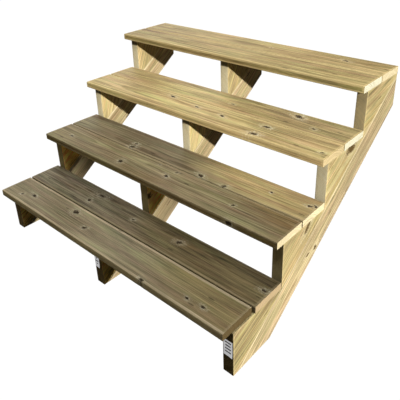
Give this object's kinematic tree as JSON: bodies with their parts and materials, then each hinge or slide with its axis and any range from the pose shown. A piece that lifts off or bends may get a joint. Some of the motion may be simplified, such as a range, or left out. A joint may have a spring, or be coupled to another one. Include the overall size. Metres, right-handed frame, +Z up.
{
  "type": "wooden deck stairs",
  "caption": "Open deck stairs: sloping timber boards with step blocks carry treads of paired deck boards, to stand against a deck edge.",
  "frame": {"origin": "middle of the middle stringer's upright back cut, the face that is fastened to the deck", "axes": "+Y out of the back cut towards the deck, +X along the treads to the right as seen from the front, +Z up"},
  "size_m": [1.29, 1.082, 0.756],
  "materials": {
    "stringer": "planed, pressure treated, unsealed",
    "step_block": "sawn, pressure treated, unsealed",
    "light_board": "planed, pressure treated, unsealed",
    "weathered_board": "planed, pressure treated, slightly weathered",
    "label": "plain white stuck-on paper tag"
  },
  "bodies": {
    "root": {"left_stringer": "stringer", "middle_stringer": "stringer", "right_stringer": "stringer", "left_block_1": "step_block", "left_block_2": "step_block", "left_block_3": "step_block", "left_block_4": "step_block", "middle_block_1": "step_block", "middle_block_2": "step_block", "middle_block_3": "step_block", "middle_block_4": "step_block", "right_block_1": "step_block", "right_block_2": "step_block", "right_block_3": "step_block", "right_block_4": "step_block", "tread_1_front_board": "weathered_board", "tread_1_back_board": "weathered_board", "tread_2_front_board": "weathered_board", "tread_2_back_board": "weathered_board", "tread_3_front_board": "light_board", "tread_3_back_board": "light_board", "tread_4_front_board": "light_board", "tread_4_back_board": "light_board"}
  },
  "joints": []
}
